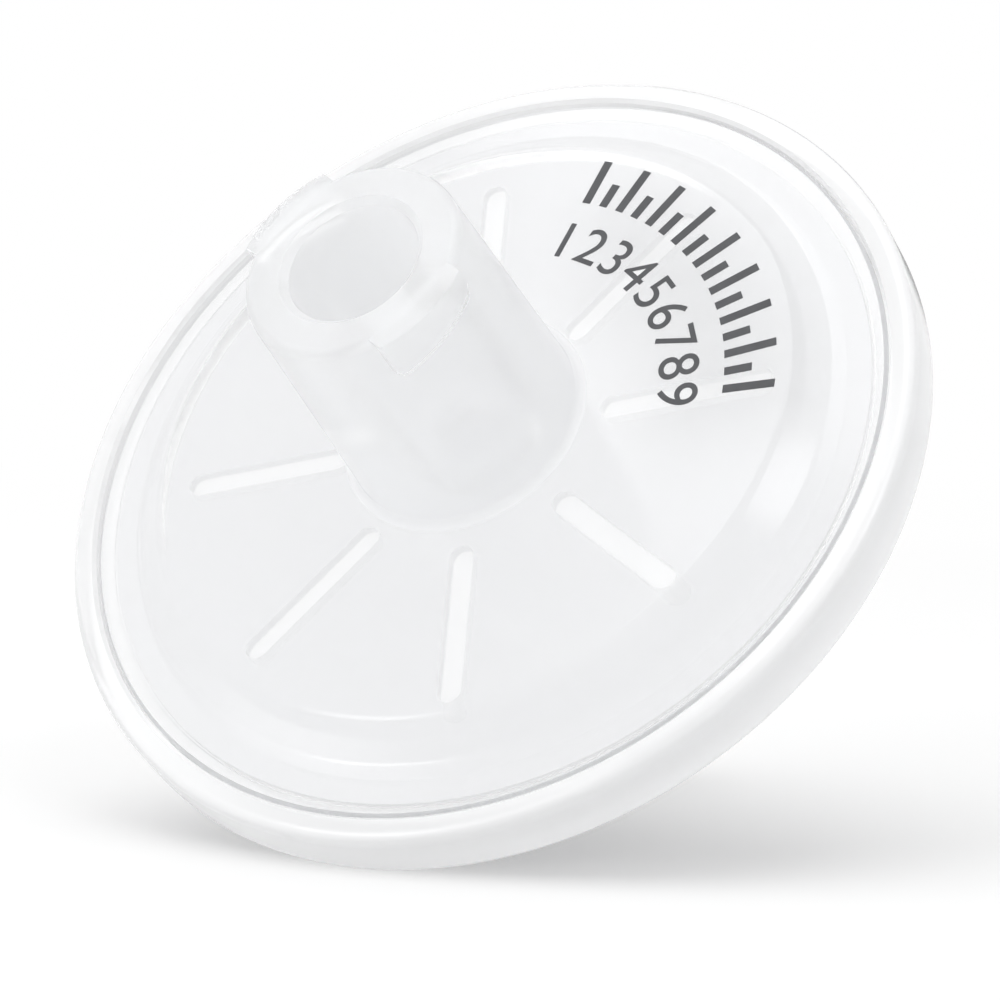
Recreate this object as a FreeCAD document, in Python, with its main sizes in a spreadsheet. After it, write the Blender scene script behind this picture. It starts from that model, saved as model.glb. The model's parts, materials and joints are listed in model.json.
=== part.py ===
import FreeCAD, Part
import math
import os
import Sketcher

# Disc syringe filter, 29 mm across: a female luer-lock inlet on top, a male luer-slip outlet below.
# Two mouldings are welded together round their rims with a flat membrane clamped between them.
#
# Each piece is drawn about the filter's own axis. Radii are measured from that axis and heights
# along it, upwards to the inlet, from the level where the two mouldings meet at the rim. When the
# pieces are drawn, the whole filter is leant over, as it lies on a table: on the lower edge of its
# rim and on the end of its outlet tip, with its lowest points at height 0.

doc = FreeCAD.newDocument("syringe_filter")

FULL_TURN = 360.0  # degrees

SIZES = (
    # rim that both mouldings share
    ("rim_radius", 14.5),          # outside of the filter
    ("rim_wall", 0.9),             # thickness of the lower moulding's upright rim
    ("rim_top", 0.25),             # top of the upright rim
    ("rim_drop", 1.75),            # bottom edge of the rim, below the meeting level
    ("rim_round", 0.4),            # rounding of the rim's outer edges
    ("rim_fit", 0.04),             # gap round the cap inside the rim
    ("weld_bevel", 0.12),          # bevels that leave a fine groove along the weld
    # cap: the raised round plate of the upper moulding, and the ledge round it
    ("plate_height", 1.3),
    ("plate_radius", 10.8),
    ("plate_wall", 1.2),
    ("plate_round", 0.7),
    ("slope_run", 1.1),            # width of the plate's sloping side, down to the ledge
    ("ledge_height", 0.45),
    ("ledge_edge_height", 0.1),
    ("slope_round", 0.5),
    # inlet hub with its luer socket
    ("hub_height", 9.9),
    ("hub_mouth_radius", 3.55),
    ("hub_root_radius", 3.85),
    ("hub_root_round", 0.3),
    ("hub_mouth_round", 0.3),
    ("socket_radius", 2.15),       # at the mouth
    ("socket_depth", 8.5),
    ("luer_taper", 0.03),          # luer cones narrow by 6 % on the diameter
    ("socket_bevel", 0.22),
    ("inlet_hole_radius", 1.3),
    # locking lugs
    ("lug_radius", 3.9),
    ("lug_width", 3.3),
    ("lug_thick_end", 1.7),
    ("lug_thin_end", 1.1),
    ("lug_count", 2),
    ("lug_turn", 59.5),            # degrees from the lowest point of the rim to a lug, as it lies
    ("lug_round", 0.3),
    # ribs inside the cap that hold the membrane down
    ("rib_count", 8),
    ("rib_width", 0.8),
    ("rib_depth", 0.5),
    ("rib_start_radius", 4.3),
    ("rib_end_gap", 0.8),          # from a rib's outer end to the edge of the chamber's roof
    # membrane
    ("membrane_radius", 12.9),
    ("membrane_thickness", 0.15),
    ("clamp_width", 0.8),          # band of membrane that the two mouldings clamp
    ("chamber_slope", 1.3),        # width of the sloping side of the chamber over the membrane
    ("weld_gap", 0.1),             # free ring between the membrane's edge and the weld bead
    # drain grid inside the lower moulding
    ("groove_count", 8),
    ("groove_depth", 0.45),
    ("groove_width", 0.7),
    ("first_groove_radius", 2.3),
    ("grid_margin", 0.7),          # from the last groove to the clamped band
    ("channel_count", 8),
    ("channel_width", 0.8),
    ("channel_margin", 0.5),       # from the channels' ends to the clamped band
    # underside and outlet
    ("floor_wall", 1.0),
    ("floor_radius", 12.7),
    ("floor_cone_drop", 0.5),
    ("outlet_root_radius", 3.7),
    ("outlet_neck_radius", 2.9),
    ("outlet_root_round", 0.6),
    ("outlet_bore_radius", 1.1),
    ("tip_end_radius", 1.97),
    ("tip_length", 7.6),
    ("tip_shoulder", 0.5),
    ("outlet_reach", 17.5),        # end of the tip, below the meeting level
    ("tip_round", 0.25),
    # webs that stiffen the outlet
    ("web_count", 4),
    ("web_width", 0.9),
    ("web_reach", 6.2),
    ("web_drop", 4.2),
)

sheet = doc.addObject("Spreadsheet::Sheet", "Sizes")
for row, (alias, number) in enumerate(SIZES, start=1):
    sheet.set(f"A{row}", alias)
    sheet.set(f"B{row}", str(number))
    sheet.setAlias(f"B{row}", alias)
doc.recompute()


def size(name):
    """The number that the sheet holds for a name."""
    return float(sheet.get(name))


def cells(formula):
    """A formula with every sheet name in it written the way the document's expressions read it."""
    words = formula.split()
    known = [alias for alias, number in SIZES]
    return " ".join("Sizes." + word if word in known else word for word in words)


# Heights and radii that follow from the sheet, as formulas
PLATE_UNDER = "plate_height - plate_wall"
MEMBRANE_TOP = "plate_height - plate_wall - rib_depth"
MEMBRANE_UNDER = MEMBRANE_TOP + " - membrane_thickness"
GROOVE_FLOOR = MEMBRANE_UNDER + " - groove_depth"
UNDERSIDE = GROOVE_FLOOR + " - floor_wall"
CONE_FOOT = UNDERSIDE + " - floor_cone_drop"
RIM_INSIDE = "rim_radius - rim_wall"
CAP_RADIUS = RIM_INSIDE + " - rim_fit"
BEAD_RADIUS = "membrane_radius + weld_gap"
SLOPE_FOOT_RADIUS = "plate_radius + slope_run"
CLAMP_RADIUS = "membrane_radius - clamp_width"
CHAMBER_RADIUS = CLAMP_RADIUS + " - chamber_slope"
RIB_END_RADIUS = CHAMBER_RADIUS + " - rib_end_gap"
CHANNEL_END_RADIUS = CLAMP_RADIUS + " - channel_margin"
GRID_WIDTH = CLAMP_RADIUS + " - grid_margin - groove_width - first_groove_radius"
GROOVE_PITCH = f"( {GRID_WIDTH} ) / ( groove_count - 1 )"
SOCKET_FLOOR = "hub_height - socket_depth"
SOCKET_FLOOR_RADIUS = "socket_radius - luer_taper * socket_depth"
TIP_ROOT = "- outlet_reach + tip_length"
TIP_ROOT_RADIUS = "tip_end_radius + luer_taper * tip_length"
NECK = TIP_ROOT + " + tip_shoulder"


def plane_of(body, role):
    """The body's own origin plane or axis with this role."""
    for feature in body.Origin.OriginFeatures:
        if feature.Role == role:
            return feature
    raise ValueError(f"no {role} in {body.Name}")


def add_sketch(body, name, role, offset=None):
    """A sketch on one of the body's origin planes, moved along the plane's normal by a formula."""
    sketch = body.newObject("Sketcher::SketchObject", name)
    sketch.AttachmentSupport = [(plane_of(body, role), "")]
    sketch.MapMode = "FlatFace"
    if offset is not None:
        sketch.setExpression(".AttachmentOffset.Base.z", cells(offset))
    return sketch


def pin_point(sketch, line, end, across, up):
    """Hold one end of a line at two distances from the sketch's origin, each given as a formula."""
    for kind, formula in (("DistanceX", across), ("DistanceY", up)):
        number = sketch.evalExpression(cells(formula))
        held = sketch.addConstraint(Sketcher.Constraint(kind, -1, 1, line, end, float(number)))
        sketch.setExpression(f"Constraints[{held}]", cells(formula))


def draw_outline(sketch, corners):
    """A closed outline of straight lines through corners, each an (across, up) pair of formulas."""
    places = []
    for across, up in corners:
        x = float(sketch.evalExpression(cells(across)))
        y = float(sketch.evalExpression(cells(up)))
        places.append(FreeCAD.Vector(x, y, 0))
    first = sketch.GeometryCount
    count = len(corners)
    for index in range(count):
        sketch.addGeometry(Part.LineSegment(places[index], places[(index + 1) % count]))
    for index in range(count):
        follower = first + (index + 1) % count
        sketch.addConstraint(Sketcher.Constraint("Coincident", first + index, 2, follower, 1))
    for index, (across, up) in enumerate(corners):
        pin_point(sketch, first + index, 1, across, up)


def draw_circle(sketch, formula):
    """A circle about the sketch's origin, with its radius given as a formula."""
    radius = float(sketch.evalExpression(cells(formula)))
    origin = FreeCAD.Vector(0, 0, 0)
    circle = sketch.addGeometry(Part.Circle(origin, FreeCAD.Vector(0, 0, 1), radius))
    sketch.addConstraint(Sketcher.Constraint("Coincident", circle, 3, -1, 1))
    held = sketch.addConstraint(Sketcher.Constraint("Radius", circle, radius))
    sketch.setExpression(f"Constraints[{held}]", cells(formula))


def draw_slot(sketch, near_end, far_end, width):
    """A round-ended slot along the sketch's first axis, between two distances from its origin."""
    near_x = float(sketch.evalExpression(cells(near_end)))
    far_x = float(sketch.evalExpression(cells(far_end)))
    half = float(sketch.evalExpression(cells(width))) / 2
    up = FreeCAD.Vector(0, 0, 1)
    near_middle = FreeCAD.Vector(near_x + half, 0, 0)
    far_middle = FreeCAD.Vector(far_x - half, 0, 0)
    side = FreeCAD.Vector(0, half, 0)
    lower = sketch.addGeometry(Part.LineSegment(near_middle - side, far_middle - side))
    upper = sketch.addGeometry(Part.LineSegment(far_middle + side, near_middle + side))
    far_cap = sketch.addGeometry(
        Part.ArcOfCircle(Part.Circle(far_middle, up, half), -math.pi / 2, math.pi / 2))
    near_cap = sketch.addGeometry(
        Part.ArcOfCircle(Part.Circle(near_middle, up, half), math.pi / 2, 3 * math.pi / 2))
    sketch.addConstraint(Sketcher.Constraint("Tangent", lower, 2, far_cap, 1))
    sketch.addConstraint(Sketcher.Constraint("Tangent", far_cap, 2, upper, 1))
    sketch.addConstraint(Sketcher.Constraint("Tangent", upper, 2, near_cap, 1))
    sketch.addConstraint(Sketcher.Constraint("Tangent", near_cap, 2, lower, 1))
    sketch.addConstraint(Sketcher.Constraint("PointOnObject", far_cap, 3, -1))
    sketch.addConstraint(Sketcher.Constraint("PointOnObject", near_cap, 3, -1))
    held = sketch.addConstraint(Sketcher.Constraint("Radius", far_cap, half))
    sketch.setExpression(f"Constraints[{held}]", cells(f"{width} / 2"))
    held = sketch.addConstraint(Sketcher.Constraint("DistanceX", -1, 1, far_cap, 3, far_x - half))
    sketch.setExpression(f"Constraints[{held}]", cells(f"{far_end} - {width} / 2"))
    held = sketch.addConstraint(Sketcher.Constraint("DistanceX", -1, 1, near_cap, 3, near_x + half))
    sketch.setExpression(f"Constraints[{held}]", cells(f"{near_end} + {width} / 2"))


def revolve(body, name, sketch):
    """Turn a sketch once round the filter's axis."""
    turned = body.newObject("PartDesign::Revolution", name)
    turned.Profile = sketch
    turned.ReferenceAxis = (plane_of(body, "Z_Axis"), [""])
    turned.Angle = FULL_TURN
    doc.recompute()
    return turned


def around(body, name, feature, count):
    """Repeat a feature evenly round the filter's axis."""
    pattern = body.newObject("PartDesign::PolarPattern", name)
    pattern.Originals = [feature]
    pattern.Axis = (plane_of(body, "Z_Axis"), [""])
    pattern.Angle = FULL_TURN
    pattern.setExpression("Occurrences", cells(count))
    body.Tip = pattern
    doc.recompute()
    return pattern


def ring_edges(feature, rings):
    """Names of the feature's full circles about the axis with these (radius, height) formulas."""
    wanted = []
    for radius, height in rings:
        r = float(feature.evalExpression(cells(radius)))
        z = float(feature.evalExpression(cells(height)))
        wanted.append((r, z))
    near = 1e-4
    names = []
    for index, edge in enumerate(feature.Shape.Edges, start=1):
        if not isinstance(edge.Curve, Part.Circle) or not edge.isClosed():
            continue
        centre = edge.Curve.Center
        if math.hypot(centre.x, centre.y) > near:
            continue
        for r, z in wanted:
            if abs(edge.Curve.Radius - r) < near and abs(centre.z - z) < near:
                names.append(f"Edge{index}")
    if len(names) != len(rings):
        raise ValueError(f"{feature.Name}: {len(names)} edges found for {len(rings)} rings")
    return names


def round_rings(body, name, base, radius, rings):
    """Round the circles of base named by rings to a radius given as a formula."""
    fillet = body.newObject("PartDesign::Fillet", name)
    fillet.Base = (base, ring_edges(base, rings))
    fillet.setExpression("Radius", cells(radius))
    doc.recompute()
    return fillet


def bevel_rings(body, name, base, width, rings):
    """Bevel the circles of base named by rings to a width given as a formula."""
    chamfer = body.newObject("PartDesign::Chamfer", name)
    chamfer.Base = (base, ring_edges(base, rings))
    chamfer.setExpression("Size", cells(width))
    doc.recompute()
    return chamfer


def lug_corner_edges(feature):
    """Names of the short straight edges along the lower corners of the lugs."""
    half_width = size("lug_width") / 2
    heights = [size("hub_height") - size(end) for end in ("lug_thick_end", "lug_thin_end")]
    near = 1e-4
    names = []
    for index, edge in enumerate(feature.Shape.Edges, start=1):
        if not isinstance(edge.Curve, Part.Line):
            continue
        places = [vertex.Point for vertex in edge.Vertexes]
        level = abs(places[0].z - places[1].z) < near
        at_side = all(abs(abs(place.x) - half_width) < near for place in places)
        at_corner = any(abs(places[0].z - height) < near for height in heights)
        if level and at_side and at_corner:
            names.append(f"Edge{index}")
    if len(names) != 2 * int(size("lug_count")):
        raise ValueError(f"{feature.Name}: {len(names)} lug corners found")
    return names


def add_body(name):
    """An empty body whose label names the piece and its file."""
    body = doc.addObject("PartDesign::Body", name)
    body.Label = name
    doc.recompute()
    return body


def build_upper_housing():
    """Inlet moulding: hub with a luer socket and two lugs, raised plate, ledge and inner ribs."""
    body = add_body("upper_housing")

    section = add_sketch(body, "cap_section", "XZ_Plane")
    draw_outline(section, (
        ("inlet_hole_radius", PLATE_UNDER),
        ("inlet_hole_radius", SOCKET_FLOOR),
        (SOCKET_FLOOR_RADIUS, SOCKET_FLOOR),
        ("socket_radius", "hub_height"),
        ("hub_mouth_radius", "hub_height"),
        ("hub_root_radius", "plate_height"),
        ("plate_radius", "plate_height"),
        (SLOPE_FOOT_RADIUS, "ledge_height"),
        (CAP_RADIUS, "ledge_edge_height"),
        (CAP_RADIUS, MEMBRANE_UNDER),
        (BEAD_RADIUS, MEMBRANE_UNDER),
        (BEAD_RADIUS, MEMBRANE_TOP),
        (CLAMP_RADIUS, MEMBRANE_TOP),
        (CHAMBER_RADIUS, PLATE_UNDER),
    ))
    cap = revolve(body, "cap", section)

    # The mouth is bevelled inside and rounded outside, and the moulded corners are eased.
    mouth = bevel_rings(body, "mouth_bevel", cap, "socket_bevel", (("socket_radius", "hub_height"),))
    rim = round_rings(body, "mouth_round", mouth, "hub_mouth_round", (("hub_mouth_radius", "hub_height"),))
    root = round_rings(body, "hub_root", rim, "hub_root_round", (("hub_root_radius", "plate_height"),))
    crest = round_rings(body, "plate_edge", root, "plate_round", (("plate_radius", "plate_height"),))
    foot = round_rings(body, "slope_foot", crest, "slope_round", ((SLOPE_FOOT_RADIUS, "ledge_height"),))
    bevel_rings(body, "weld_bevel_cap", foot, "weld_bevel", ((CAP_RADIUS, "ledge_edge_height"),))

    # Each lug is a short length of a right-hand thread: level on top and sloping underneath.
    lug_section = add_sketch(body, "lug_section", "XZ_Plane", "( hub_mouth_radius + socket_radius ) / 2")
    draw_outline(lug_section, (
        ("- lug_width / 2", "hub_height"),
        ("- lug_width / 2", "hub_height - lug_thick_end"),
        ("lug_width / 2", "hub_height - lug_thin_end"),
        ("lug_width / 2", "hub_height"),
    ))
    lug = body.newObject("PartDesign::Pad", "lug")
    lug.Profile = lug_section
    lug.setExpression("Length", cells("lug_radius - socket_radius"))
    doc.recompute()
    around(body, "lugs", lug, "lug_count")

    lug_trim = add_sketch(body, "lug_trim", "XY_Plane", "hub_height")
    draw_circle(lug_trim, "lug_radius")
    draw_circle(lug_trim, "lug_radius * 2")
    trim = body.newObject("PartDesign::Pocket", "lug_faces")
    trim.Profile = lug_trim
    trim.setExpression("Length", cells("lug_thick_end + lug_round"))
    doc.recompute()
    corners = body.newObject("PartDesign::Fillet", "lug_corners")
    corners.Base = (trim, lug_corner_edges(trim))
    corners.setExpression("Radius", cells("lug_round"))
    doc.recompute()

    # Ribs under the plate run from beside the hub towards the plate's edge, with round ends.
    rib_plan = add_sketch(body, "rib_plan", "XY_Plane", PLATE_UNDER)
    draw_slot(rib_plan, "rib_start_radius", RIB_END_RADIUS, "rib_width")
    rib = body.newObject("PartDesign::Pad", "rib")
    rib.Profile = rib_plan
    rib.Reversed = True
    rib.setExpression("Length", cells("rib_depth"))
    doc.recompute()
    around(body, "ribs", rib, "rib_count")
    return body


def build_lower_housing():
    """Outlet moulding: upright rim, floor with a drain grid, and a hub that ends in a luer tip."""
    body = add_body("lower_housing")

    section = add_sketch(body, "dish_section", "XZ_Plane")
    draw_outline(section, (
        ("outlet_bore_radius", MEMBRANE_UNDER),
        (RIM_INSIDE, MEMBRANE_UNDER),
        (RIM_INSIDE, "rim_top"),
        ("rim_radius", "rim_top"),
        ("rim_radius", "- rim_drop"),
        ("floor_radius", "- rim_drop"),
        ("floor_radius", UNDERSIDE),
        ("outlet_root_radius", CONE_FOOT),
        ("outlet_neck_radius", NECK),
        (TIP_ROOT_RADIUS, TIP_ROOT),
        ("tip_end_radius", "- outlet_reach"),
        ("outlet_bore_radius", "- outlet_reach"),
    ))
    dish = revolve(body, "dish", section)

    groove = bevel_rings(body, "weld_bevel_rim", dish, "weld_bevel", ((RIM_INSIDE, "rim_top"),))
    rim = round_rings(body, "rim_edges", groove, "rim_round", (
        ("rim_radius", "rim_top"),
        ("rim_radius", "- rim_drop"),
    ))
    root = round_rings(body, "outlet_root", rim, "outlet_root_round", (("outlet_root_radius", CONE_FOOT),))
    round_rings(body, "tip_end", root, "tip_round", (("tip_end_radius", "- outlet_reach"),))

    # The drain grid: rings that carry the membrane, with grooves between them.
    grid_section = add_sketch(body, "grid_section", "XZ_Plane")
    for index in range(int(size("groove_count"))):
        inner = f"first_groove_radius + {index} * {GROOVE_PITCH}"
        outer = inner + " + groove_width"
        draw_outline(grid_section, (
            (inner, MEMBRANE_UNDER),
            (outer, MEMBRANE_UNDER),
            (outer, GROOVE_FLOOR),
            (inner, GROOVE_FLOOR),
        ))
    grooves = body.newObject("PartDesign::Groove", "grooves")
    grooves.Profile = grid_section
    grooves.ReferenceAxis = (plane_of(body, "Z_Axis"), [""])
    grooves.Angle = FULL_TURN
    doc.recompute()

    # Channels across the rings lead the filtrate to the outlet's bore.
    channel_plan = add_sketch(body, "channel_plan", "XY_Plane", MEMBRANE_UNDER)
    draw_outline(channel_plan, (
        ("0", "- channel_width / 2"),
        (CHANNEL_END_RADIUS, "- channel_width / 2"),
        (CHANNEL_END_RADIUS, "channel_width / 2"),
        ("0", "channel_width / 2"),
    ))
    channel = body.newObject("PartDesign::Pocket", "channel")
    channel.Profile = channel_plan
    channel.setExpression("Length", cells("groove_depth"))
    doc.recompute()
    around(body, "channels", channel, "channel_count")

    # Thin webs stiffen the outlet's root.
    web_section = add_sketch(body, "web_section", "XZ_Plane")
    draw_outline(web_section, (
        ("outlet_neck_radius - outlet_bore_radius / 2", UNDERSIDE),
        ("web_reach", UNDERSIDE),
        ("outlet_neck_radius - outlet_bore_radius / 2", CONE_FOOT + " - web_drop"),
    ))
    web = body.newObject("PartDesign::Pad", "web")
    web.Profile = web_section
    web.Midplane = True
    web.setExpression("Length", cells("web_width"))
    doc.recompute()
    around(body, "webs", web, "web_count")
    return body


def build_membrane():
    """Flat disc of membrane, clamped round its edge between the two mouldings."""
    body = add_body("membrane")
    plan = add_sketch(body, "membrane_plan", "XY_Plane", MEMBRANE_UNDER)
    draw_circle(plan, "membrane_radius")
    disc = body.newObject("PartDesign::Pad", "disc")
    disc.Profile = plan
    disc.setExpression("Length", cells("membrane_thickness"))
    doc.recompute()
    return body


def lean_of_filter():
    """How far the axis leans from upright when the rim's lower edge and the tip's end both touch."""
    rim_round = size("rim_round")
    tip_round = size("tip_round")
    across = (size("rim_radius") - rim_round) - (size("tip_end_radius") - tip_round)
    along = (size("outlet_reach") - tip_round) - (size("rim_drop") - rim_round)
    apart = math.hypot(across, along)
    return math.degrees(math.atan2(along, across) + math.asin((rim_round - tip_round) / apart))


def lay_down(bodies):
    """Turn the pieces to where the filter lies, with the middle of its base at the origin.

    The filter is first spun about its axis, which puts a lug at its turn from the rim's lowest point.
    """
    upright = FreeCAD.Vector(0, 0, 1)
    spin = FreeCAD.Rotation(upright, size("lug_turn"))
    lean = FreeCAD.Rotation(FreeCAD.Vector(1, 0, 0), lean_of_filter())
    for body in bodies:
        body.Placement = FreeCAD.Placement(FreeCAD.Vector(0, 0, 0), lean.multiply(spin))
    doc.recompute()
    box = Part.makeCompound([body.Shape for body in bodies]).optimalBoundingBox(False, False)
    shift = FreeCAD.Vector(-box.Center.x, -box.Center.y, -box.ZMin)
    for body in bodies:
        body.Placement = FreeCAD.Placement(shift, body.Placement.Rotation)
    doc.recompute()


bodies = [build_upper_housing(), build_lower_housing(), build_membrane()]
lay_down(bodies)

for item in doc.Objects:
    if "Invalid" in item.State or "Error" in item.State:
        raise RuntimeError(f"{item.Label} failed: {item.State}")
for body in bodies:
    if body.Shape.isNull() or not body.Shape.isValid():
        raise RuntimeError(f"{body.Label} has no valid shape")

os.makedirs("parts", exist_ok=True)
for body in bodies:
    body.Shape.exportStep(f"parts/{body.Label}.step")
    print(body.Label, "solids", len(body.Shape.Solids), "volume", round(body.Shape.Volume, 2))
print("lean", round(lean_of_filter(), 3))
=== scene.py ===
"""Visual model of a disc syringe filter, lying on the edge of its rim and the end of its outlet tip."""

import json
import logging
import math
from collections.abc import Callable
from dataclasses import dataclass
from enum import Enum, IntEnum

import bmesh
import bpy
from mathutils import Matrix, Vector


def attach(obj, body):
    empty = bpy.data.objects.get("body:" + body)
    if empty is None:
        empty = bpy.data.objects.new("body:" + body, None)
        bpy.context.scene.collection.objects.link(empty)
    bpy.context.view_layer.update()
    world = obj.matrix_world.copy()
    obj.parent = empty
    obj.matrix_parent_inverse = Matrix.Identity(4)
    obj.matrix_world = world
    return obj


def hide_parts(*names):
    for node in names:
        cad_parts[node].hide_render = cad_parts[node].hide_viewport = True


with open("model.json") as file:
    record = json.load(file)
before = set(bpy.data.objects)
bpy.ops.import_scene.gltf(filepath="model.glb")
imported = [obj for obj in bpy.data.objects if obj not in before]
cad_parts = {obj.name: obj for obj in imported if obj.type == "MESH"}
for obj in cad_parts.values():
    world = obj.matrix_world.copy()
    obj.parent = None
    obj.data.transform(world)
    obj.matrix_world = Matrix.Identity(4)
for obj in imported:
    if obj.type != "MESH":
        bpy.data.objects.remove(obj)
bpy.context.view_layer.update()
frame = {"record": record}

LOG = logging.getLogger("syringe_filter")

MM = 0.001
FULL_TURN = 2.0 * math.pi
QUARTER_TURN = math.pi / 2.0
BODY = "root"

LUG_TURN = math.radians(59.5)
"""Turn of the filter about its own axis, which sets where the lugs point."""
CREASE = math.radians(32.0)
"""Largest angle between faces that is shaded smooth."""
TURN_STEPS = 384
"""Steps round the full turn of a moulding."""
CORNER_STEPS = 8
"""Chords in each rounded corner of a section."""
OVERLAP = 0.2
"""How far a rib or a channel's tool runs past the face that it meets, in millimetres."""

Point2 = tuple[float, float]
Point3 = tuple[float, float, float]
Colour = tuple[float, float, float]
Inputs = dict[str, float | tuple[float, ...]]


@dataclass(frozen=True)
class Levels:
    """Heights on the filter's own axis that more than one piece keeps to, in millimetres."""

    mouth: float = 9.9
    plate: float = 1.3
    membrane_top: float = -0.4
    membrane_foot: float = -0.55


LEVELS = Levels()


class Corner(Enum):
    """How a corner of a section is finished."""

    SHARP = "sharp"
    ROUND = "round"
    BEVEL = "bevel"


class Join(Enum):
    """How a tool mesh acts on a moulding."""

    ADD = "UNION"
    CUT = "DIFFERENCE"


class InletFinish(IntEnum):
    """Which of the inlet moulding's finishes a face wears."""

    PLAIN = 0
    # Frosted rib faces pressed on the membrane, and a lug's low edge painted white as a painted highlight.
    PRESSED_AND_GLINT = 1
    THICK = 2
    INNER = 3
    # Faces round the weld, darkened as painted shade in the groove between the two mouldings.
    SEAM = 4


@dataclass(frozen=True)
class Bend:
    """One corner of a section, in millimetres: its radius, its height and its finish."""

    r: float
    z: float
    size: float = 0.0
    corner: Corner = Corner.SHARP


def rounded(r: float, z: float, size: float) -> Bend:
    """Give a corner that is rounded to a radius."""
    return Bend(r, z, size, Corner.ROUND)


def bevelled(r: float, z: float, size: float) -> Bend:
    """Give a corner that is cut off at a distance along both its sides."""
    return Bend(r, z, size, Corner.BEVEL)


def inlet_mouth() -> tuple[Vector, Vector]:
    """Read from the frame where the middle of the inlet's mouth is.

    Returns:
        Its place, in metres, and the way that it faces.
    """
    mount = next(entry for entry in frame["record"]["mounts"] if entry["name"] == "luer_inlet")
    return Vector(mount["pos_m"]), Vector(mount["axis"])


def own_origin() -> Vector:
    """Find the filter's own origin: on its axis, level with the weld round the rim.

    Returns:
        The place, in metres.
    """
    place, facing = inlet_mouth()
    return place - facing * (LEVELS.mouth * MM)


def resting_place() -> Matrix:
    """Give the matrix from the filter's own axes to where it lies.

    Returns:
        The placement, in metres.
    """
    _, facing = inlet_mouth()
    lean = Matrix.Rotation(math.atan2(-facing.y, facing.z), 4, "X")
    spin = Matrix.Rotation(LUG_TURN, 4, "Z")
    return Matrix.Translation(own_origin()) @ lean @ spin


# --------------------------------------------------------------------------- meshes


def eased(bends: list[Bend]) -> list[Point2]:
    """Walk round a closed section and finish its corners.

    Args:
        bends: The section's corners in order.

    Returns:
        The finished outline, in millimetres.
    """
    outline: list[Point2] = []
    count = len(bends)
    for index, bend in enumerate(bends):
        here = Vector((bend.r, bend.z))
        if bend.corner is Corner.SHARP:
            outline.append((here.x, here.y))
            continue
        last, coming = bends[index - 1], bends[(index + 1) % count]
        back = (Vector((last.r, last.z)) - here).normalized()
        ahead = (Vector((coming.r, coming.z)) - here).normalized()
        if bend.corner is Corner.BEVEL:
            for leg in (back, ahead):
                spot = here + leg * bend.size
                outline.append((spot.x, spot.y))
            continue
        half = back.angle(ahead) / 2.0
        leg_length = bend.size / math.tan(half)
        centre = here + (back + ahead).normalized() * (bend.size / math.sin(half))
        start = here + back * leg_length - centre
        end = here + ahead * leg_length - centre
        swing = math.atan2(start.x * end.y - start.y * end.x, start.dot(end))
        for step in range(CORNER_STEPS + 1):
            angle = swing * step / CORNER_STEPS
            cos_a, sin_a = math.cos(angle), math.sin(angle)
            outline.append((
                centre.x + start.x * cos_a - start.y * sin_a,
                centre.y + start.x * sin_a + start.y * cos_a,
            ))
    return outline


def lathe(name: str, outline: list[Point2]) -> bpy.types.Object:
    """Turn a closed section about the filter's axis into a closed mesh.

    Args:
        name: Name of the new piece.
        outline: The section, in millimetres.

    Returns:
        The new piece, in the filter's own axes and in metres.
    """
    mesh = bmesh.new()
    rings = []
    for turn in range(TURN_STEPS):
        angle = FULL_TURN * turn / TURN_STEPS
        cos_a, sin_a = math.cos(angle), math.sin(angle)
        rings.append([mesh.verts.new((r * cos_a * MM, r * sin_a * MM, z * MM)) for r, z in outline])
    count = len(outline)
    for turn in range(TURN_STEPS):
        this, following = rings[turn], rings[(turn + 1) % TURN_STEPS]
        for index in range(count):
            other = (index + 1) % count
            mesh.faces.new((this[index], following[index], following[other], this[other]))
    return as_piece(name, mesh)


def prism(name: str, plan: list[Point2], low: float, high: float) -> bpy.types.Object:
    """Raise a closed plan into a closed block.

    Args:
        name: Name of the new piece.
        plan: Corners in the filter's own plane, in millimetres.
        low: Lower height, in millimetres.
        high: Upper height, in millimetres.

    Returns:
        The new piece.
    """
    mesh = bmesh.new()
    add_block(mesh, plan, low, high)
    return as_piece(name, mesh)


def add_block(mesh: bmesh.types.BMesh, plan: list[Point2], low: float, high: float) -> None:
    """Add a closed block to a mesh.

    Args:
        mesh: The mesh that it is added to.
        plan: Corners in the filter's own plane, in millimetres.
        low: Lower height, in millimetres.
        high: Upper height, in millimetres.
    """
    under = [mesh.verts.new((x * MM, y * MM, low * MM)) for x, y in plan]
    over = [mesh.verts.new((x * MM, y * MM, high * MM)) for x, y in plan]
    mesh.faces.new(list(reversed(under)))
    mesh.faces.new(over)
    add_band(mesh, under, over)


def add_band(
    mesh: bmesh.types.BMesh,
    near: list[bmesh.types.BMVert],
    far: list[bmesh.types.BMVert],
) -> None:
    """Join two closed loops of corners with a band of faces.

    Args:
        mesh: The mesh that holds the corners.
        near: The corners of the first loop.
        far: As many corners of the second loop, in the same order.
    """
    count = len(near)
    for index in range(count):
        other = (index + 1) % count
        mesh.faces.new((near[index], near[other], far[other], far[index]))


def as_piece(name: str, mesh: bmesh.types.BMesh) -> bpy.types.Object:
    """Turn a mesh under work into an object with its faces outwards.

    Args:
        name: Name of the new piece.
        mesh: The finished mesh, which is freed.

    Returns:
        The new object, linked to the scene.
    """
    bmesh.ops.recalc_face_normals(mesh, faces=mesh.faces)
    data = bpy.data.meshes.new(name)
    mesh.to_mesh(data)
    mesh.free()
    return linked(name, data)


def linked(name: str, data: bpy.types.ID) -> bpy.types.Object:
    """Put a mesh, a curve, a lamp or a camera into the scene.

    Args:
        name: Name of the new object.
        data: What the object holds.

    Returns:
        The new object.
    """
    holder = bpy.data.objects.new(name, data)
    bpy.context.scene.collection.objects.link(holder)
    return holder


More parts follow.
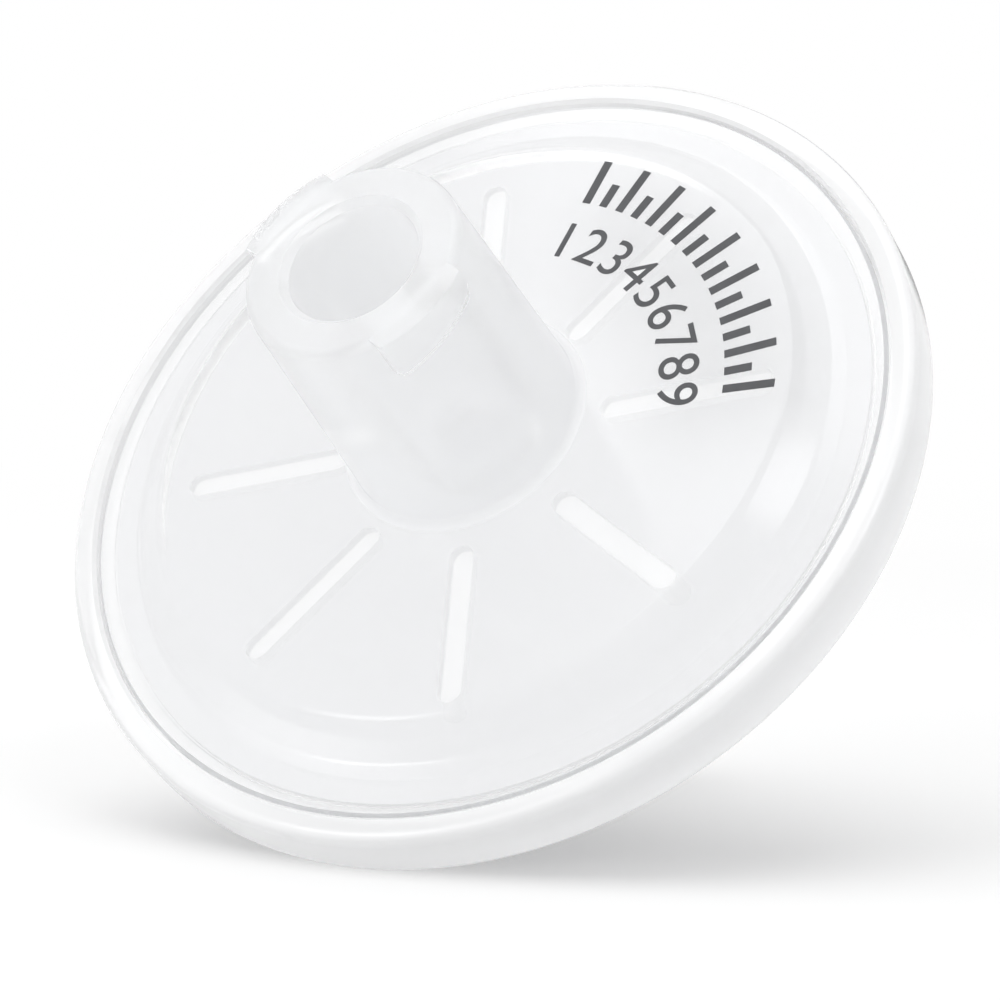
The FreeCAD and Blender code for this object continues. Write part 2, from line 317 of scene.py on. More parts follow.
def as_seen(holder: bpy.types.Object) -> bpy.types.Mesh:
    """Give an object's mesh with its modifiers worked in.

    Args:
        holder: The object.

    Returns:
        The new mesh.
    """
    graph = bpy.context.evaluated_depsgraph_get()
    return bpy.data.meshes.new_from_object(holder.evaluated_get(graph))


def combine(piece: bpy.types.Object, tools: list[bpy.types.Object], how: Join) -> None:
    """Add the tools to a piece or cut them from it, and remove the tools.

    Args:
        piece: The piece that changes.
        tools: Closed meshes that act on it.
        how: Whether the tools are added or cut.
    """
    for tool in tools:
        modifier = piece.modifiers.new("join", "BOOLEAN")
        modifier.operation = how.value
        modifier.solver = "EXACT"
        modifier.object = tool
        data = as_seen(piece)
        piece.modifiers.clear()
        old = piece.data
        piece.data = data
        bpy.data.meshes.remove(old)
        worn = tool.data
        bpy.data.objects.remove(tool)
        bpy.data.meshes.remove(worn)
    piece.data.name = piece.name


def turned_copies(make: Callable[[], bpy.types.Object], count: int) -> list[bpy.types.Object]:
    """Make one tool for each even step round the filter's axis.

    Args:
        make: Makes the tool in its first place.
        count: How many there are round the axis.

    Returns:
        The tools, each turned to its place.
    """
    tools = []
    for index in range(count):
        tool = make()
        tool.data.transform(Matrix.Rotation(FULL_TURN * index / count, 4, "Z"))
        tools.append(tool)
    return tools


def settle(piece: bpy.types.Object) -> None:
    """Lay a piece down where the filter lies, and smooth it up to the crease angle.

    Args:
        piece: The piece, still in the filter's own axes.
    """
    piece.data.transform(resting_place())
    for polygon in piece.data.polygons:
        polygon.use_smooth = True
    piece.data.set_sharp_from_angle(angle=CREASE)
    piece.data.update()


# --------------------------------------------------------------------------- finishes


@dataclass(frozen=True)
class Nodes:
    """Node tree under work, with the steps that the finishes share."""

    tree: bpy.types.NodeTree

    def add(self, kind: str, values: Inputs | None = None) -> bpy.types.Node:
        """Add one node.

        Args:
            kind: Its type.
            values: What its inputs are set to, by name.

        Returns:
            The node.
        """
        node = self.tree.nodes.new(kind)
        set_inputs(node, values or {})
        return node

    def link(self, source: bpy.types.NodeSocket, target: bpy.types.NodeSocket) -> None:
        """Carry a value from an output to an input."""
        self.tree.links.new(source, target)

    def noise(self, scale: float, detail: float) -> bpy.types.NodeSocket:
        """Spread an uneven value over the object.

        Args:
            scale: How close its patches are, per metre.
            detail: How many finer layers it has.

        Returns:
            The value, from 0 to 1.
        """
        place = self.add("ShaderNodeTexCoord")
        texture = self.add("ShaderNodeTexNoise", {"Scale": scale, "Detail": detail})
        self.link(place.outputs["Object"], texture.inputs["Vector"])
        return texture.outputs["Fac"]

    def blended(self, share: bpy.types.NodeSocket, low: Colour, high: Colour) -> bpy.types.NodeSocket:
        """Blend two colours.

        Args:
            share: How much there is of the second colour.
            low: The first colour.
            high: The second colour.

        Returns:
            The blended colour.
        """
        blend = self.add("ShaderNodeMix")
        blend.data_type = "RGBA"
        set_inputs(blend, {"A": (*low, 1.0), "B": (*high, 1.0)})
        self.link(share, blend.inputs["Factor"])
        return blend.outputs["Result"]

    def dented(self, height: bpy.types.NodeSocket, strength: float, depth: float) -> bpy.types.NodeSocket:
        """Tilt the surface by an uneven height.

        Args:
            height: The height.
            strength: How much of the tilt is kept.
            depth: The depth of the dents, in metres.

        Returns:
            The tilted normal.
        """
        bump = self.add("ShaderNodeBump", {"Strength": strength, "Distance": depth})
        self.link(height, bump.inputs["Height"])
        return bump.outputs["Normal"]

    def joined(
        self,
        how: str,
        first: bpy.types.NodeSocket,
        second: bpy.types.NodeSocket | float,
    ) -> bpy.types.NodeSocket:
        """Work one value out of two.

        Args:
            how: The operation.
            first: The first value.
            second: The second value, or a plain number.

        Returns:
            The result.
        """
        step = self.add("ShaderNodeMath")
        step.operation = how
        self.link(first, step.inputs[0])
        if isinstance(second, bpy.types.NodeSocket):
            self.link(second, step.inputs[1])
        else:
            step.inputs[1].default_value = second
        return step.outputs["Value"]

    def show_mix(
        self,
        share: bpy.types.NodeSocket,
        first: bpy.types.NodeSocket,
        second: bpy.types.NodeSocket,
        output: str = "Material Output",
    ) -> None:
        """Mix two shaders and show the mix.

        Args:
            share: How much there is of the second shader.
            first: The first shader.
            second: The second shader.
            output: Name of the node that the mix goes to.
        """
        mixed = self.add("ShaderNodeMixShader")
        self.link(share, mixed.inputs["Fac"])
        self.link(first, mixed.inputs[1])
        self.link(second, mixed.inputs[2])
        self.link(mixed.outputs["Shader"], self.tree.nodes[output].inputs["Surface"])


def set_inputs(node: bpy.types.Node, values: Inputs) -> None:
    """Set a node's inputs by name."""
    for name, value in values.items():
        node.inputs[name].default_value = value


def shader(name: str, values: Inputs) -> tuple[bpy.types.Material, Nodes, bpy.types.ShaderNode]:
    """Start a material.

    Args:
        name: The material's name.
        values: What its Principled shader's inputs are set to, by name.

    Returns:
        The material, its nodes and its Principled shader.
    """
    material = bpy.data.materials.new(name)
    material.use_nodes = True
    surface = material.node_tree.nodes["Principled BSDF"]
    set_inputs(surface, values)
    return material, Nodes(material.node_tree), surface


@dataclass(frozen=True)
class MilkyPlastic:
    """Milky, half-clear polypropylene with the fine grain of a polished mould.

    Light that has been thrown back or bent more often than the two limits passes on unbent.
    """

    name: str = "milky_plastic"
    tint: Colour = (0.96, 0.963, 0.967)
    pale: Colour = (0.975, 0.977, 0.98)
    cloud_scale: float = 240.0
    cloud_detail: float = 3.0
    clear: float = 0.8
    smooth: float = 0.13
    rough: float = 0.21
    ior: float = 1.49
    grain_scale: float = 2600.0
    grain_detail: float = 2.0
    grain_strength: float = 0.02
    grain_depth: float = 0.02 * MM
    passed: float = 0.95
    thrown_most: float = 2.5
    bent_most: float = 7.5

    def make(self) -> bpy.types.Material:
        """Build the material.

        Returns:
            The finished material.
        """
        material, nodes, surface = shader(self.name, {"Transmission Weight": self.clear, "IOR": self.ior})
        cloud = nodes.noise(self.cloud_scale, self.cloud_detail)
        nodes.link(nodes.blended(cloud, self.tint, self.pale), surface.inputs["Base Color"])
        gloss = nodes.add("ShaderNodeMapRange", {"To Min": self.smooth, "To Max": self.rough})
        nodes.link(cloud, gloss.inputs["Value"])
        nodes.link(gloss.outputs["Result"], surface.inputs["Roughness"])
        grain = nodes.noise(self.grain_scale, self.grain_detail)
        dents = nodes.dented(grain, self.grain_strength, self.grain_depth)
        nodes.link(dents, surface.inputs["Normal"])
        self.let_light_through(nodes, surface)
        return material

    def let_light_through(self, nodes: Nodes, surface: bpy.types.ShaderNode) -> None:
        """Let some light pass the walls without being bent, so that the plastic isn't darkened.

        It is the light of the lamps, light that the membrane scatters, and light that has already
        been thrown back and forth inside the walls.

        Args:
            nodes: The material's nodes.
            surface: The plastic's own shader, which every other ray meets.
        """
        passing_on = (self.passed, self.passed, self.passed, 1.0)
        straight = nodes.add("ShaderNodeBsdfTransparent", {"Color": passing_on})
        path = nodes.add("ShaderNodeLightPath").outputs
        lamp_or_film = nodes.joined("MAXIMUM", path["Is Shadow Ray"], path["Is Diffuse Ray"])
        thrown = nodes.joined("GREATER_THAN", path["Glossy Depth"], self.thrown_most)
        bent = nodes.joined("GREATER_THAN", path["Transmission Depth"], self.bent_most)
        trapped = nodes.joined("MAXIMUM", thrown, bent)
        passing = nodes.joined("MAXIMUM", lamp_or_film, trapped)
        nodes.show_mix(passing, surface.outputs["BSDF"], straight.outputs["BSDF"])


@dataclass(frozen=True)
class MembraneFilm:
    """White porous film with a fine, even mottle."""

    light: Colour = (0.835, 0.84, 0.857)
    dark: Colour = (0.785, 0.79, 0.807)
    roughness: float = 0.85
    pore_scale: float = 3800.0
    pore_detail: float = 5.0
    pore_strength: float = 0.25
    pore_depth: float = 0.01 * MM

    def make(self) -> bpy.types.Material:
        """Build the material.

        Returns:
            The finished material.
        """
        material, nodes, surface = shader("membrane_film", {"Roughness": self.roughness})
        pores = nodes.noise(self.pore_scale, self.pore_detail)
        nodes.link(nodes.blended(pores, self.dark, self.light), surface.inputs["Base Color"])
        dents = nodes.dented(pores, self.pore_strength, self.pore_depth)
        nodes.link(dents, surface.inputs["Normal"])
        return material


@dataclass(frozen=True)
class PadInk:
    """Dark grey ink laid down by a printing pad, a little uneven in its cover."""

    full: Colour = (0.042, 0.043, 0.048)
    thin: Colour = (0.085, 0.087, 0.094)
    roughness: float = 0.5
    cover_scale: float = 1700.0
    cover_detail: float = 4.0

    def make(self) -> bpy.types.Material:
        """Build the material.

        Returns:
            The finished material.
        """
        material, nodes, surface = shader("pad_ink", {"Roughness": self.roughness})
        cover = nodes.noise(self.cover_scale, self.cover_detail)
        nodes.link(nodes.blended(cover, self.full, self.thin), surface.inputs["Base Color"])
        return material


@dataclass(frozen=True)
class PaleFloor:
    """Plain white table that keeps the object's shadow and fades into the white beyond it.

    The fade's distances are from the middle of the scene, in metres.
    """

    white: float = 0.95
    roughness: float = 0.75
    shine: float = 0.15
    beyond: float = 1.0
    fade_from: float = 0.045
    fade_to: float = 0.16

    def make(self) -> bpy.types.Material:
        """Build the material.

        Returns:
            The finished material.
        """
        material, nodes, surface = shader("pale_floor", {
            "Base Color": (self.white, self.white, self.white, 1.0),
            "Roughness": self.roughness,
            "Specular IOR Level": self.shine,
        })
        beyond = nodes.add("ShaderNodeEmission", {"Strength": self.beyond})
        place = nodes.add("ShaderNodeNewGeometry")
        reach = nodes.add("ShaderNodeVectorMath")
        reach.operation = "LENGTH"
        nodes.link(place.outputs["Position"], reach.inputs[0])
        fade = nodes.add("ShaderNodeMapRange", {"From Min": self.fade_from, "From Max": self.fade_to})
        fade.interpolation_type = "SMOOTHSTEP"
        nodes.link(reach.outputs["Value"], fade.inputs["Value"])
        seen = nodes.add("ShaderNodeLightPath")
        share = nodes.joined("MULTIPLY", fade.outputs["Result"], seen.outputs["Is Camera Ray"])
        nodes.show_mix(share, surface.outputs["BSDF"], beyond.outputs["Emission"])
        return material


# --------------------------------------------------------------------------- pieces


@dataclass
class InletMoulding:
    """Upper moulding: hub with a luer socket and lugs, raised plate, ledge and inner ribs.

    All sizes are in millimetres, in the filter's own axes. A lug's top and low edges are broken by
    two short faces, which meet at a share of the edge's size. The zones are the height from which a
    face at a lug's low edge is painted white as a painted highlight, and the radius from which a face
    near the weld is darkened as painted shade. The two normals are the limits of the slope of a face
    at a lug's low edge that gets the painted highlight.
    """

    bore_radius: float = 1.3
    socket_foot: float = 1.4
    socket_foot_radius: float = 1.895
    socket_mouth_radius: float = 2.15
    hub_top_radius: float = 3.55
    hub_foot_radius: float = 3.85
    plate_radius: float = 10.8
    ledge: float = 0.45
    ledge_radius: float = 11.9
    weld: float = 0.1
    weld_radius: float = 13.56
    skirt_foot: float = -0.544
    skirt_radius: float = 13.0
    clamp_radius: float = 12.1
    roof: float = 0.1
    roof_radius: float = 10.8
    rib_count: int = 8
    rib_width: float = 0.8
    rib_start: float = 4.3
    rib_end: float = 10.0
    rib_end_steps: int = 10
    lug_count: int = 2
    lug_steps: int = 24
    lug_inner: float = 2.95
    lug_radius: float = 3.9
    lug_width: float = 3.3
    lug_thick: float = 1.7
    lug_thin: float = 1.1
    lug_round: float = 0.3
    lug_top_edge: float = 0.12
    lug_low_edge: float = 0.22
    lug_edge_middle: float = 0.3
    lug_glint_zone: float = 7.5
    seam_shade_zone: float = 13.46
    glint_lowest_normal: float = -0.93
    glint_highest_normal: float = -0.25
    slack: float = 0.01

    def section(self) -> list[Bend]:
        """Give the moulding's section, from the foot of its bore round to the chamber's roof.

        Returns:
            The section's corners in order.
        """
        return [
            rounded(self.bore_radius, self.roof, size=0.12),
            rounded(self.bore_radius, self.socket_foot, size=0.08),
            rounded(self.socket_foot_radius, self.socket_foot, size=0.15),
            bevelled(self.socket_mouth_radius, LEVELS.mouth, size=0.22),
            rounded(self.hub_top_radius, LEVELS.mouth, size=0.3),
            rounded(self.hub_foot_radius, LEVELS.plate, size=0.3),
            rounded(self.plate_radius, LEVELS.plate, size=0.7),
            rounded(self.ledge_radius, self.ledge, size=0.5),
            bevelled(self.weld_radius, self.weld, size=0.12),
            Bend(self.weld_radius, self.skirt_foot),
            Bend(self.skirt_radius, self.skirt_foot),
            Bend(self.skirt_radius, LEVELS.membrane_top),
            rounded(self.clamp_radius, LEVELS.membrane_top, size=0.1),
            rounded(self.roof_radius, self.roof, size=0.4),
        ]

    def rib(self) -> bpy.types.Object:
        """Make one rib, round at both ends.

        Returns:
            The rib, along the filter's first axis.
        """
        half = self.rib_width / 2.0
        plan: list[Point2] = []
        for middle, first in ((self.rib_end - half, -QUARTER_TURN), (self.rib_start + half, QUARTER_TURN)):
            for step in range(self.rib_end_steps + 1):
                angle = first + math.pi * step / self.rib_end_steps
                plan.append((middle + half * math.cos(angle), half * math.sin(angle)))
        return prism("rib", plan, LEVELS.membrane_top, self.roof + OVERLAP)

    def lug(self) -> bpy.types.Object:
        """Make one locking lug: level on top, and sloping underneath as a right-hand thread.

        Returns:
            The lug, on the hub's side that faces down the filter's second axis.
        """
        mesh = bmesh.new()
        columns = []
        for step in range(self.lug_steps + 1):
            corners = self.lug_section(step / self.lug_steps)
            columns.append([mesh.verts.new((x * MM, y * MM, z * MM)) for x, y, z in corners])
        for left, right in zip(columns, columns[1:]):
            count = len(left)
            for index in range(count):
                other = (index + 1) % count
                mesh.faces.new((left[index], right[index], right[other], left[other]))
        mesh.faces.new(list(reversed(columns[0])))
        mesh.faces.new(columns[-1])
        return as_piece("lug", mesh)

    def lug_section(self, share: float) -> list[Point3]:
        """Give a lug's section at one place along its width.

        Args:
            share: 0 at the lug's thick end and 1 at its thin end.

        Returns:
            The section's corners in order, in millimetres.
        """
        half = self.lug_width / 2.0
        x = -half + self.lug_width * share
        under = LEVELS.mouth - self.lug_thick + (self.lug_thick - self.lug_thin) * share
        edge = min(x + half, half - x)
        if edge < self.lug_round:
            reach = self.lug_round - edge
            under += self.lug_round - math.sqrt(self.lug_round**2 - reach**2)
        outer = math.sqrt(self.lug_radius**2 - x**2)
        soft, broad, middle = self.lug_top_edge, self.lug_low_edge, self.lug_edge_middle
        return [
            (x, -self.lug_inner, under),
            (x, -outer + broad, under),
            (x, -outer + broad * middle, under + broad * middle),
            (x, -outer, under + broad),
            (x, -outer, LEVELS.mouth - soft),
            (x, -outer + soft * middle, LEVELS.mouth - soft * middle),
            (x, -outer + soft, LEVELS.mouth),
            (x, -self.lug_inner, LEVELS.mouth),
        ]

    def build(self) -> bpy.types.Object:
        """Build the whole moulding.

        Returns:
            The moulding, laid down in its place.
        """
        piece = lathe("inlet_moulding", eased(self.section()))
        combine(piece, turned_copies(self.rib, self.rib_count), Join.ADD)
        combine(piece, turned_copies(self.lug, self.lug_count), Join.ADD)
        for polygon in piece.data.polygons:
            polygon.material_index = self.finish_at(polygon.center / MM, polygon.normal)
        settle(piece)
        return piece

    def finish_at(self, middle: Vector, normal: Vector) -> InletFinish:
        """Tell the faces of the ribs, the hub, the chamber's roof and the seam from the rest, with a
        painted highlight on the lugs' low edges and painted shade round the weld.

        Args:
            middle: The middle of the face, in the filter's own axes, in millimetres.
            normal: The way that the face looks.

        Returns:
            The finish that the face wears.
        """
        along = math.hypot(middle.x, middle.y)
        in_plan = self.rib_start - self.slack < along < self.rib_end + self.slack
        under_roof = LEVELS.membrane_top - self.slack < middle.z < self.roof - self.slack
        # Painted highlight: a lug's low edge gets the white finish for the glint along it.
        lug_glint_edge = middle.z > self.lug_glint_zone and self.glint_lowest_normal < normal.z < self.glint_highest_normal
        if lug_glint_edge or (in_plan and under_roof):
            return InletFinish.PRESSED_AND_GLINT
        if along < self.rib_start and middle.z > LEVELS.plate:
            return InletFinish.THICK
        if along < self.roof_radius and abs(middle.z - self.roof) < self.slack:
            return InletFinish.INNER
        # Painted shade: faces round the weld get a dark finish for the shade in the groove between the
        # mouldings.
        if along > self.seam_shade_zone:
            return InletFinish.SEAM
        return InletFinish.PLAIN


@dataclass
class OutletMoulding:
    """Lower moulding: rim, drain grid, floor, webs and the outlet with its luer tip.

    All sizes are in millimetres, in the filter's own axes. A channel's tool stays off the floor of
    the grooves by the lift, so that no two faces of the cut lie in one plane.
    """

    bore_radius: float = 1.1
    groove_floor: float = -1.0
    groove_count: int = 8
    groove_width: float = 0.7
    groove_pitch: float = 1.2
    first_groove: float = 2.3
    channel_count: int = 8
    channel_width: float = 0.8
    channel_end: float = 11.6
    channel_lift: float = 0.003
    rim_inner_radius: float = 13.6
    rim_radius: float = 14.5
    rim_top: float = 0.25
    rim_foot: float = -1.75
    floor_radius: float = 12.7
    underside: float = -2.0
    stem_top: float = -2.5
    stem_top_radius: float = 3.7
    stem_foot: float = -9.4
    stem_foot_radius: float = 2.9
    tip_root: float = -9.9
    tip_root_radius: float = 2.198
    tip_end: float = -17.5
    tip_end_radius: float = 1.97
    web_count: int = 4
    web_width: float = 0.9
    web_root: float = 2.35
    web_reach: float = 6.2
    web_foot: float = -6.7

    def section(self) -> list[Bend]:
        """Give the moulding's section, with the grooves of the drain grid in its top.

        Returns:
            The section's corners in order.
        """
        seat = LEVELS.membrane_foot
        bends = [Bend(self.bore_radius, seat)]
        for index in range(self.groove_count):
            near = self.first_groove + index * self.groove_pitch
            far = near + self.groove_width
            bends += [
                Bend(near, seat),
                Bend(near, self.groove_floor),
                Bend(far, self.groove_floor),
                Bend(far, seat),
            ]
        return bends + [
            Bend(self.rim_inner_radius, seat),
            bevelled(self.rim_inner_radius, self.rim_top, size=0.12),
            rounded(self.rim_radius, self.rim_top, size=0.4),
            rounded(self.rim_radius, self.rim_foot, size=0.4),
            rounded(self.floor_radius, self.rim_foot, size=0.1),
            rounded(self.floor_radius, self.underside, size=0.1),
            rounded(self.stem_top_radius, self.stem_top, size=0.6),
            rounded(self.stem_foot_radius, self.stem_foot, size=0.2),
            rounded(self.tip_root_radius, self.tip_root, size=0.2),
            rounded(self.tip_end_radius, self.tip_end, size=0.25),
            rounded(self.bore_radius, self.tip_end, size=0.1),
        ]

    def channel(self) -> bpy.types.Object:
        """Make the tool that cuts one channel.

        Returns:
            The tool, along the filter's first axis.
        """
        half = self.channel_width / 2.0
        plan = [(0.0, -half), (self.channel_end, -half), (self.channel_end, half), (0.0, half)]
        low, high = self.groove_floor + self.channel_lift, LEVELS.membrane_foot + OVERLAP
        return prism("channel", plan, low, high)

    def web(self) -> bpy.types.Object:
        """Make one stiffening web.

        Returns:
            The web, along the filter's first axis.
        """
        half = self.web_width / 2.0
        side = (
            (self.web_root, self.underside),
            (self.web_reach, self.underside),
            (self.web_root, self.web_foot),
        )
        mesh = bmesh.new()
        near = [mesh.verts.new((x * MM, -half * MM, z * MM)) for x, z in side]
        far = [mesh.verts.new((x * MM, half * MM, z * MM)) for x, z in side]
        mesh.faces.new(near)
        mesh.faces.new(list(reversed(far)))
        add_band(mesh, near, far)
        return as_piece("web", mesh)

    def build(self) -> bpy.types.Object:
        """Build the whole moulding.

        Returns:
            The moulding, laid down in its place.
        """
        piece = lathe("outlet_moulding", eased(self.section()))
        combine(piece, turned_copies(self.channel, self.channel_count), Join.CUT)
        combine(piece, turned_copies(self.web, self.web_count), Join.ADD)
        settle(piece)
        return piece


@dataclass
class FilterMembrane:
    """Flat membrane, with a hair of air to the mouldings each side so that each surface shows.

    All sizes are in millimetres.
    """

    radius: float = 12.9
    air: float = 0.006
    steps: int = 192

    def build(self) -> bpy.types.Object:
        """Build the membrane.

        Returns:
            The membrane, laid down in its place.
        """
        angles = [FULL_TURN * step / self.steps for step in range(self.steps)]
        plan = [(self.radius * math.cos(angle), self.radius * math.sin(angle)) for angle in angles]
        low, high = LEVELS.membrane_foot + self.air, LEVELS.membrane_top - self.air
        piece = prism("filter_membrane", plan, low, high)
        settle(piece)
        return piece


@dataclass
class PlatePrint:
    """Plain scale printed on the plate: an arc of ticks, with plain numbers inside it.

    Angles are in degrees in the filter's own axes, and sizes in millimetres. A digit's height is a
    fixed share of the letters' size.
    """

    ink: float = 0.012
    stand_off: float = 0.002
    middle: float = -14.5
    spread: float = 70.0
    tick_low: float = 8.7
    tick_short: float = 9.6
    tick_long: float = 10.4
    tick_width: float = 0.3
    ticks: int = 17
    numbers: int = 9
    digit_height: float = 1.36
    digit_radius: float = 6.54
    digit_share: float = 0.7

    def build(self) -> bpy.types.Object:
        """Build the whole print.

        Returns:
            The print, laid down in its place.
        """
        mesh = bmesh.new()
        for index in range(self.ticks):
            angle = self.angle_at(index / (self.ticks - 1))
            high = self.tick_long if index % 2 == 0 else self.tick_short
            self.add_tick(mesh, angle, high)
        piece = as_piece("plate_print", mesh)
        joined = bmesh.new()
        joined.from_mesh(piece.data)
        for index in range(self.numbers):
            number = self.number(str(index + 1), index / (self.numbers - 1))
            joined.from_mesh(number)
            bpy.data.meshes.remove(number)
        joined.to_mesh(piece.data)
        joined.free()
        settle(piece)
        return piece

    def angle_at(self, share: float) -> float:
        """Give the angle of a place along the arc.

        Args:
            share: 0 at the arc's start and 1 at its end, read clockwise.

        Returns:
            The angle, in radians.
        """
        return math.radians(self.middle + self.spread / 2.0 - self.spread * share)

    def add_tick(self, mesh: bmesh.types.BMesh, angle: float, high: float) -> None:
        """Add one thin raised tick.

        Args:
            mesh: The mesh that it is added to.
            angle: Its place round the axis, in radians.
            high: Radius of its outer end, in millimetres.
        """
        out = Vector((math.cos(angle), math.sin(angle)))
        side = Vector((-out.y, out.x)) * (self.tick_width / 2.0)
        low = self.tick_low
        corners = (out * low - side, out * high - side, out * high + side, out * low + side)
        plan = [(corner.x, corner.y) for corner in corners]
        add_block(mesh, plan, LEVELS.plate + self.stand_off, LEVELS.plate + self.ink)

    def number(self, text: str, share: float) -> bpy.types.Mesh:
        """Make one plain number, upright to a reader on the filter's axis.

        Args:
            text: The digits.
            share: Its place along the arc.

        Returns:
            The number's mesh, in the filter's own axes.
        """
        curve = bpy.data.curves.new("number", "FONT")
        curve.body = text
        curve.align_x = "CENTER"
        curve.size = self.digit_height * MM / self.digit_share
        curve.extrude = self.ink * MM / 2.0
        holder = linked("number", curve)
        data = as_seen(holder)
        bpy.data.objects.remove(holder)
        bpy.data.curves.remove(curve)
        height = LEVELS.plate + self.ink / 2.0 + self.stand_off
        lift = Matrix.Translation(Vector((0.0, self.digit_radius, height)) * MM)
        data.transform(Matrix.Rotation(self.angle_at(share) - QUARTER_TURN, 4, "Z") @ lift)
        return data


@dataclass
class SyringeFilter:
    """The whole filter: two mouldings, the membrane between them and the print on the plate."""

    plastic: MilkyPlastic = MilkyPlastic()
    # Frosted rib faces, and a painted highlight on each lug's low edge: a white, matte copy of the
    # plastic.
    pressed_and_glint: MilkyPlastic = MilkyPlastic(
        name="pressed_and_glint_plastic",
        tint=(0.94, 0.943, 0.95),
        pale=(0.95, 0.953, 0.96),
        clear=0.0,
        smooth=0.5,
        rough=0.6,
    )
    thick: MilkyPlastic = MilkyPlastic(
        name="thick_plastic",
        tint=(0.952, 0.956, 0.966),
        pale=(0.96, 0.964, 0.97),
        clear=0.6,
        smooth=0.2,
        rough=0.28,
        ior=1.18,
    )
    inner: MilkyPlastic = MilkyPlastic(name="inner_plastic", ior=1.12)
    # Painted shade: a dark, half-clear copy of the plastic for the groove round the weld.
    seam_shade: MilkyPlastic = MilkyPlastic(
        name="seam_shade_plastic",
        tint=(0.66, 0.665, 0.68),
        pale=(0.7, 0.705, 0.72),
        clear=0.3,
        smooth=0.3,
        rough=0.4,
    )
    rim: MilkyPlastic = MilkyPlastic(
        name="rim_plastic",
        tint=(0.972, 0.975, 0.983),
        pale=(0.98, 0.983, 0.988),
        clear=0.45,
    )
    film: MembraneFilm = MembraneFilm()
    ink: PadInk = PadInk()

    def inlet_finishes(self) -> list[bpy.types.Material]:
        """Build the inlet moulding's materials.

        Returns:
            The materials, in the order of their numbers.
        """
        worn = {
            InletFinish.PLAIN: self.plastic,
            InletFinish.PRESSED_AND_GLINT: self.pressed_and_glint,
            InletFinish.THICK: self.thick,
            InletFinish.INNER: self.inner,
            InletFinish.SEAM: self.seam_shade,
        }
        return [worn[finish].make() for finish in InletFinish]

    def build(self) -> list[bpy.types.Object]:
        """Build and dress every piece.

        Returns:
            The pieces.
        """
        made = [
            (InletMoulding().build(), self.inlet_finishes(), "upper_housing", "housing"),
            (OutletMoulding().build(), [self.rim.make()], "lower_housing", "housing"),
            (FilterMembrane().build(), [self.film.make()], "membrane", "membrane"),
            (PlatePrint().build(), [self.ink.make()], None, None),
        ]
        for piece, finishes, node, slot in made:
            marks = [polygon.material_index for polygon in piece.data.polygons]
            piece.data.materials.clear()
            for finish in finishes:
                piece.data.materials.append(finish)
            piece.data.polygons.foreach_set("material_index", marks)
            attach(piece, BODY)
            if node:
                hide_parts(node)
            LOG.info("%s: %d faces", piece.name, len(piece.data.polygons))
        return [entry[0] for entry in made]


# --------------------------------------------------------------------------- studio


@dataclass(frozen=True)
class SoftLamp:
    """Square soft lamp that faces the filter. Places and sizes are in metres, and power in watts."""

    name: str
    spot: Point3
    size: float
    power: float
    aim: Point3 = (0.0, 0.0, 0.012)

    def hang(self) -> None:
        """Put the lamp into the scene."""
        light = bpy.data.lights.new(self.name, "AREA")
        light.shape = "SQUARE"
        light.size = self.size
        light.energy = self.power
        holder = linked(self.name, light)
        holder.location = self.spot
        aim = Vector(self.aim) - Vector(self.spot)
        holder.rotation_euler = aim.to_track_quat("-Z", "Y").to_euler()


@dataclass(frozen=True)
class DarkCard:
    """Dark card beside the filter, which its clear edges bend into view as thin dark lines.

    Places and sizes are in metres.
    """

    name: str
    spot: Point3
    width: float
    height: float
    grey: float = 0.12
    roughness: float = 0.9

    def stand(self) -> None:
        """Put the card into the scene, out of the camera's sight and out of the light."""
        mesh = bmesh.new()
        across, over = self.width / 2.0, self.height / 2.0
        corners = ((-across, -over), (across, -over), (across, over), (-across, over))
        mesh.faces.new([mesh.verts.new((x, y, 0.0)) for x, y in corners])
        card = as_piece(self.name, mesh)
        card.location = self.spot
        card.rotation_euler = (-Vector(self.spot)).to_track_quat("Z", "Y").to_euler()
        material, _, _ = shader(self.name, {
            "Base Color": (self.grey, self.grey, self.grey, 1.0),
            "Roughness": self.roughness,
        })
        card.data.materials.append(material)
        card.visible_camera = False
        card.visible_diffuse = False
        card.visible_shadow = False


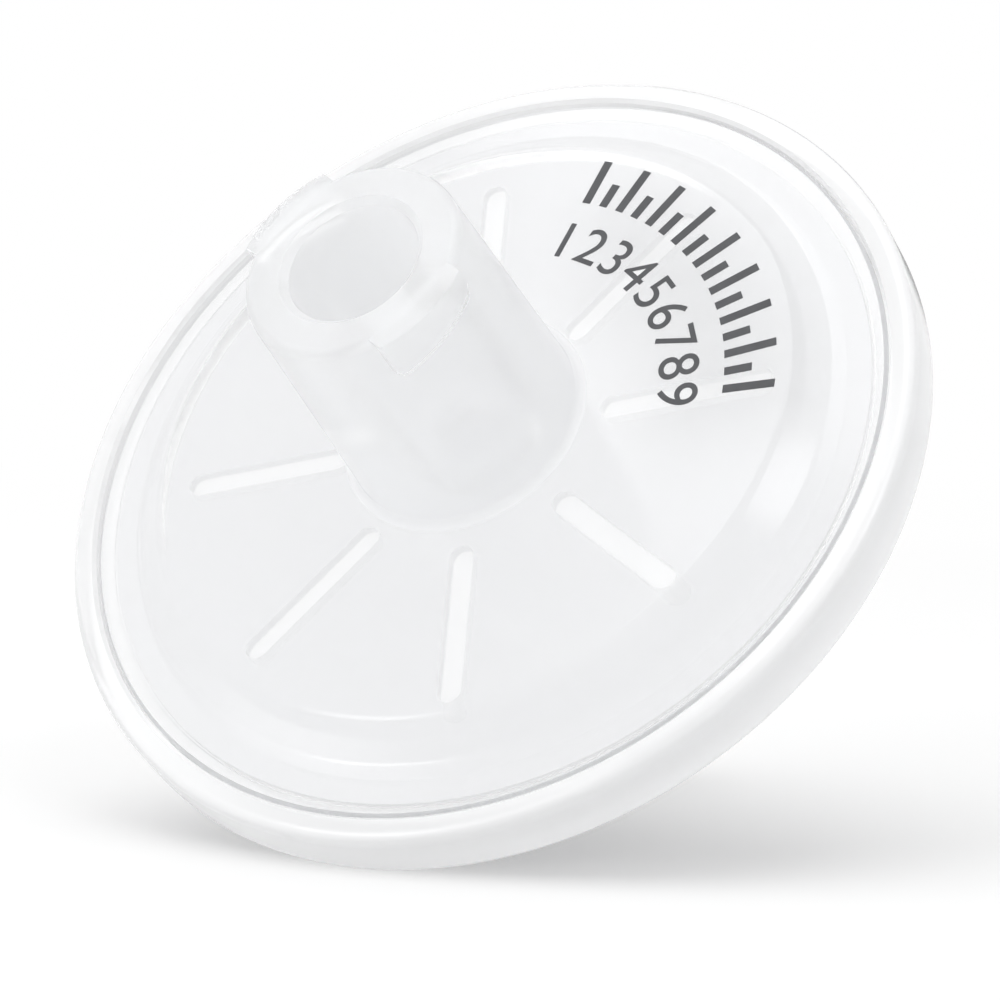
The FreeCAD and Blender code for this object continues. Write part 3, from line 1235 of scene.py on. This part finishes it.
@dataclass
class Studio:
    """Floor, lamps, white surroundings and the camera.

    The camera isn't rolled. Seen from it, the filter's own origin lies so far to the right of the
    middle of the view, so far down and so far away, in millimetres. The focal length is in widths
    of the sensor, whose own width is in millimetres. Other lengths are in metres.
    """

    azimuth: float = 29.52
    pitch: float = 4.73
    focal: float = 4.0
    sensor: float = 36.0
    nearest: float = 0.001
    origin_right: float = -0.6
    origin_down: float = -1.76
    origin_away: float = 126.68
    half_floor: float = 2.0
    world_light: float = 0.77
    world_seen: float = 1.0
    lamps: tuple[SoftLamp, ...] = (
        SoftLamp("overhead", spot=(-0.06, -0.02, 0.42), size=0.34, power=0.55),
        SoftLamp("right_front", spot=(0.28, -0.15, 0.32), size=0.12, power=0.13),
        SoftLamp("left_front", spot=(-0.2, -0.34, 0.16), size=0.12, power=0.15),
    )
    card: DarkCard = DarkCard("back_flag", spot=(-0.022, 0.09, 0.035), width=0.034, height=0.06)

    def floor(self) -> bpy.types.Object:
        """Make the table.

        Returns:
            The floor.
        """
        mesh = bmesh.new()
        half = self.half_floor
        plan = ((-half, -half), (half, -half), (half, half), (-half, half))
        mesh.faces.new([mesh.verts.new((x, y, 0.0)) for x, y in plan])
        floor = as_piece("floor", mesh)
        floor.data.materials.append(PaleFloor().make())
        return floor

    def surroundings(self) -> None:
        """Light the scene evenly, and show plain white beyond it."""
        world = bpy.data.worlds.new("white_room")
        world.use_nodes = True
        bpy.context.scene.world = world
        nodes = Nodes(world.node_tree)
        white = (1.0, 1.0, 1.0, 1.0)
        light = world.node_tree.nodes["Background"]
        set_inputs(light, {"Color": white, "Strength": self.world_light})
        shown = nodes.add("ShaderNodeBackground", {"Color": white, "Strength": self.world_seen})
        path = nodes.add("ShaderNodeLightPath").outputs
        direct = nodes.joined("MAXIMUM", path["Is Camera Ray"], path["Is Glossy Ray"])
        seen = nodes.joined("MAXIMUM", direct, path["Is Transmission Ray"])
        nodes.show_mix(seen, light.outputs["Background"], shown.outputs["Background"], "World Output")

    def camera(self) -> None:
        """Set the camera at its place, level, looking at the filter."""
        turn, rise = math.radians(self.azimuth), math.radians(self.pitch)
        back = Vector((math.cos(rise) * math.sin(turn), -math.cos(rise) * math.cos(turn), math.sin(rise)))
        right = Vector((math.cos(turn), math.sin(turn), 0.0))
        up = back.cross(right)
        offset = right * self.origin_right - up * self.origin_down - back * self.origin_away
        spot = own_origin() - offset * MM
        lens = bpy.data.cameras.new("camera")
        lens.sensor_width = self.sensor
        lens.lens = self.focal * self.sensor
        lens.clip_start = self.nearest
        holder = linked("camera", lens)
        holder.matrix_world = Matrix.Translation(spot) @ Matrix((right, up, back)).transposed().to_4x4()
        bpy.context.scene.camera = holder

    def build(self) -> None:
        """Set the whole studio up."""
        self.floor()
        self.surroundings()
        for lamp in self.lamps:
            lamp.hang()
        self.card.stand()
        self.camera()
        bpy.context.scene.view_settings.view_transform = "Standard"


def main() -> None:
    """Build the filter and its studio."""
    logging.basicConfig(level=logging.INFO)
    SyringeFilter().build()
    Studio().build()


if __name__ == "__main__":
    main()
